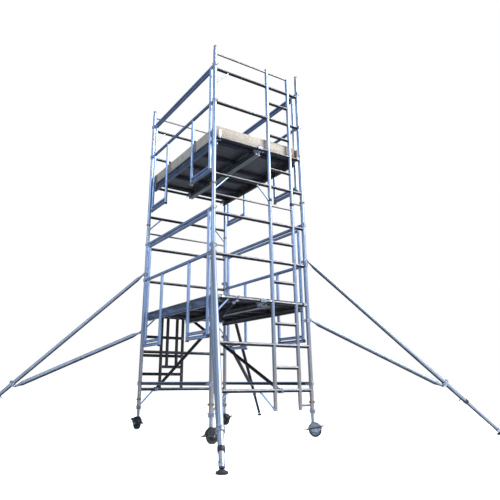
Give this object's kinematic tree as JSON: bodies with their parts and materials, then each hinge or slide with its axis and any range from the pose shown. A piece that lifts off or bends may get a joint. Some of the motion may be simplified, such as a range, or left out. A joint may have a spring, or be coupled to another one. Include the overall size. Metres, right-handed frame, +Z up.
{
  "type": "mobile scaffold access tower",
  "caption": "Free-standing aluminium frame scaffold tower on braked castors, with two decked levels, side guard frames, built-in ladder and corner stabilisers.",
  "frame": {"origin": "on the ground, midway between the four castors and at the middle of the stabiliser feet's spread", "axes": "+Z up; +X across the end frames to the ladder side; +Y along the decks from the ladder frames to the span frames"},
  "size_m": [5.5944, 5.168, 4.862],
  "materials": {
    "aluminium_tube": "satin drawn tube, lightly marked",
    "aluminium_cast": "dull cast and machined metal",
    "deck_board": "dark resin-faced plywood",
    "toe_board": "weathered bare timber",
    "castor_metal": "dark painted pressed steel",
    "wheel": "black rubber tread"
  },
  "bodies": {
    "tower": {"ladder_frame_lower": "aluminium_tube", "ladder_frame_upper": "aluminium_tube", "span_frame_lower": "aluminium_tube", "span_frame_upper": "aluminium_tube", "guard_frame_left_lower": "aluminium_tube", "guard_frame_right_lower": "aluminium_tube", "guard_frame_left_upper": "aluminium_tube", "guard_frame_right_upper": "aluminium_tube", "level_brace_left": "aluminium_tube", "level_brace_right": "aluminium_tube", "diagonal_brace_left": "aluminium_tube", "diagonal_brace_right": "aluminium_tube", "deck_frame_left_lower": "aluminium_tube", "deck_board_left_lower": "deck_board", "deck_frame_right_lower": "aluminium_tube", "deck_board_right_lower": "deck_board", "deck_frame_left_upper": "aluminium_tube", "deck_board_left_upper": "deck_board", "deck_frame_right_upper": "aluminium_tube", "deck_board_right_upper": "deck_board", "toe_board_left": "toe_board", "toe_board_right": "toe_board", "toe_board_front": "toe_board", "toe_board_back": "toe_board"},
    "leg_front_left": {"leg_tube_front_left": "aluminium_cast"},
    "nut_front_left": {"leg_nut_front_left": "aluminium_cast"},
    "castor_front_left": {"castor_yoke_front_left": "castor_metal"},
    "wheel_front_left": {"castor_wheel_front_left": "wheel"},
    "brake_front_left": {"castor_brake_front_left": "castor_metal"},
    "stabiliser_front_left": {"stabiliser_tube_front_left": "aluminium_tube", "stabiliser_arm_front_left": "aluminium_tube"},
    "stabiliser_foot_front_left": {"stabiliser_leg_front_left": "aluminium_tube"},
    "leg_front_right": {"leg_tube_front_right": "aluminium_cast"},
    "nut_front_right": {"leg_nut_front_right": "aluminium_cast"},
    "castor_front_right": {"castor_yoke_front_right": "castor_metal"},
    "wheel_front_right": {"castor_wheel_front_right": "wheel"},
    "brake_front_right": {"castor_brake_front_right": "castor_metal"},
    "stabiliser_front_right": {"stabiliser_tube_front_right": "aluminium_tube", "stabiliser_arm_front_right": "aluminium_tube"},
    "stabiliser_foot_front_right": {"stabiliser_leg_front_right": "aluminium_tube"},
    "leg_back_left": {"leg_tube_back_left": "aluminium_cast"},
    "nut_back_left": {"leg_nut_back_left": "aluminium_cast"},
    "castor_back_left": {"castor_yoke_back_left": "castor_metal"},
    "wheel_back_left": {"castor_wheel_back_left": "wheel"},
    "brake_back_left": {"castor_brake_back_left": "castor_metal"},
    "stabiliser_back_left": {"stabiliser_tube_back_left": "aluminium_tube", "stabiliser_arm_back_left": "aluminium_tube"},
    "stabiliser_foot_back_left": {"stabiliser_leg_back_left": "aluminium_tube"},
    "leg_back_right": {"leg_tube_back_right": "aluminium_cast"},
    "nut_back_right": {"leg_nut_back_right": "aluminium_cast"},
    "castor_back_right": {"castor_yoke_back_right": "castor_metal"},
    "wheel_back_right": {"castor_wheel_back_right": "wheel"},
    "brake_back_right": {"castor_brake_back_right": "castor_metal"},
    "stabiliser_back_right": {"stabiliser_tube_back_right": "aluminium_tube", "stabiliser_arm_back_right": "aluminium_tube"},
    "stabiliser_foot_back_right": {"stabiliser_leg_back_right": "aluminium_tube"},
    "hatch_lower": {"deck_hatch_lower": "deck_board"},
    "hatch_upper": {"deck_hatch_upper": "deck_board"}
  },
  "joints": [
    {"name": "leg_slide_front_left", "type": "slide", "parent": "tower", "child": "leg_front_left", "axis": [0, 0, -1], "range_m": [0, 0.2]},
    {"name": "nut_turn_front_left", "type": "hinge", "parent": "tower", "child": "nut_front_left", "pos_m": [-0.685, -1, 0.27], "axis": [0, 0, 1], "range_deg": [0, 5760]},
    {"name": "castor_swivel_front_left", "type": "hinge", "parent": "leg_front_left", "child": "castor_front_left", "pos_m": [-0.685, -1, 0.165], "axis": [0, 0, 1], "continuous": true},
    {"name": "wheel_spin_front_left", "type": "hinge", "parent": "castor_front_left", "child": "wheel_front_left", "pos_m": [-0.6653, -0.99653, 0.075], "axis": [0.1736, -0.9848, 0], "continuous": true},
    {"name": "brake_rock_front_left", "type": "hinge", "parent": "castor_front_left", "child": "brake_front_left", "pos_m": [-0.6653, -0.99653, 0.098], "axis": [0.1736, -0.9848, 0], "range_deg": [-24, 0]},
    {"name": "stabiliser_swing_front_left", "type": "hinge", "parent": "tower", "child": "stabiliser_front_left", "pos_m": [-0.685, -1, 2.107], "axis": [0, 0, 1], "range_deg": [-40, 40]},
    {"name": "stabiliser_extend_front_left", "type": "slide", "parent": "stabiliser_front_left", "child": "stabiliser_foot_front_left", "axis": [-0.2861, -0.5616, -0.7764], "range_m": [-0.05, 0.4]},
    {"name": "leg_slide_front_right", "type": "slide", "parent": "tower", "child": "leg_front_right", "axis": [0, 0, -1], "range_m": [0, 0.2]},
    {"name": "nut_turn_front_right", "type": "hinge", "parent": "tower", "child": "nut_front_right", "pos_m": [0.685, -1, 0.27], "axis": [0, 0, 1], "range_deg": [0, 5760]},
    {"name": "castor_swivel_front_right", "type": "hinge", "parent": "leg_front_right", "child": "castor_front_right", "pos_m": [0.685, -1, 0.165], "axis": [0, 0, 1], "continuous": true},
    {"name": "wheel_spin_front_right", "type": "hinge", "parent": "castor_front_right", "child": "wheel_front_right", "pos_m": [0.70009, -1.01312, 0.075], "axis": [-0.6561, -0.7547, 0], "continuous": true},
    {"name": "brake_rock_front_right", "type": "hinge", "parent": "castor_front_right", "child": "brake_front_right", "pos_m": [0.70009, -1.01312, 0.098], "axis": [-0.6561, -0.7547, 0], "range_deg": [-24, 0]},
    {"name": "stabiliser_swing_front_right", "type": "hinge", "parent": "tower", "child": "stabiliser_front_right", "pos_m": [0.685, -1, 2.075], "axis": [0, 0, 1], "range_deg": [-40, 40]},
    {"name": "stabiliser_extend_front_right", "type": "slide", "parent": "stabiliser_front_right", "child": "stabiliser_foot_front_right", "axis": [0.6662, -0.3249, -0.6712], "range_m": [-0.4, 0.3]},
    {"name": "leg_slide_back_left", "type": "slide", "parent": "tower", "child": "leg_back_left", "axis": [0, 0, -1], "range_m": [0, 0.2]},
    {"name": "nut_turn_back_left", "type": "hinge", "parent": "tower", "child": "nut_back_left", "pos_m": [-0.685, 1, 0.27], "axis": [0, 0, 1], "range_deg": [0, 5760]},
    {"name": "castor_swivel_back_left", "type": "hinge", "parent": "leg_back_left", "child": "castor_back_left", "pos_m": [-0.685, 1, 0.165], "axis": [0, 0, 1], "continuous": true},
    {"name": "wheel_spin_back_left", "type": "hinge", "parent": "castor_back_left", "child": "wheel_back_left", "pos_m": [-0.68778, 1.01981, 0.075], "axis": [0.9903, 0.1392, 0], "continuous": true},
    {"name": "brake_rock_back_left", "type": "hinge", "parent": "castor_back_left", "child": "brake_back_left", "pos_m": [-0.68778, 1.01981, 0.098], "axis": [0.9903, 0.1392, 0], "range_deg": [-24, 0]},
    {"name": "stabiliser_swing_back_left", "type": "hinge", "parent": "tower", "child": "stabiliser_back_left", "pos_m": [-0.685, 1, 2.107], "axis": [0, 0, 1], "range_deg": [-40, 40]},
    {"name": "stabiliser_extend_back_left", "type": "slide", "parent": "stabiliser_back_left", "child": "stabiliser_foot_back_left", "axis": [-0.6615, 0.3227, -0.6769], "range_m": [-0.4, 0.3]},
    {"name": "leg_slide_back_right", "type": "slide", "parent": "tower", "child": "leg_back_right", "axis": [0, 0, -1], "range_m": [0, 0.2]},
    {"name": "nut_turn_back_right", "type": "hinge", "parent": "tower", "child": "nut_back_right", "pos_m": [0.685, 1, 0.27], "axis": [0, 0, 1], "range_deg": [0, 5760]},
    {"name": "castor_swivel_back_right", "type": "hinge", "parent": "leg_back_right", "child": "castor_back_right", "pos_m": [0.685, 1, 0.165], "axis": [0, 0, 1], "continuous": true},
    {"name": "wheel_spin_back_right", "type": "hinge", "parent": "castor_back_right", "child": "wheel_back_right", "pos_m": [0.68847, 0.9803, 0.075], "axis": [-0.9848, -0.1736, 0], "continuous": true},
    {"name": "brake_rock_back_right", "type": "hinge", "parent": "castor_back_right", "child": "brake_back_right", "pos_m": [0.68847, 0.9803, 0.098], "axis": [-0.9848, -0.1736, 0], "range_deg": [-24, 0]},
    {"name": "stabiliser_swing_back_right", "type": "hinge", "parent": "tower", "child": "stabiliser_back_right", "pos_m": [0.685, 1, 2.107], "axis": [0, 0, 1], "range_deg": [-40, 40]},
    {"name": "stabiliser_extend_back_right", "type": "slide", "parent": "stabiliser_back_right", "child": "stabiliser_foot_back_right", "axis": [0.547, 0.4925, -0.6769], "range_m": [-0.4, 0.3]},
    {"name": "hatch_hinge_lower", "type": "hinge", "parent": "tower", "child": "hatch_lower", "pos_m": [0.585, -0.515, 1.5486], "axis": [0, 1, 0], "range_deg": [0, 92]},
    {"name": "hatch_hinge_upper", "type": "hinge", "parent": "tower", "child": "hatch_upper", "pos_m": [0.585, -0.515, 3.5486], "axis": [0, 1, 0], "range_deg": [0, 92]}
  ],
  "couplings": [
    {"joint": "nut_turn_front_left", "follows": "leg_slide_front_left", "rad_per_m": 502.65},
    {"joint": "nut_turn_front_right", "follows": "leg_slide_front_right", "rad_per_m": 502.65},
    {"joint": "nut_turn_back_left", "follows": "leg_slide_back_left", "rad_per_m": 502.65},
    {"joint": "nut_turn_back_right", "follows": "leg_slide_back_right", "rad_per_m": 502.65}
  ]
}
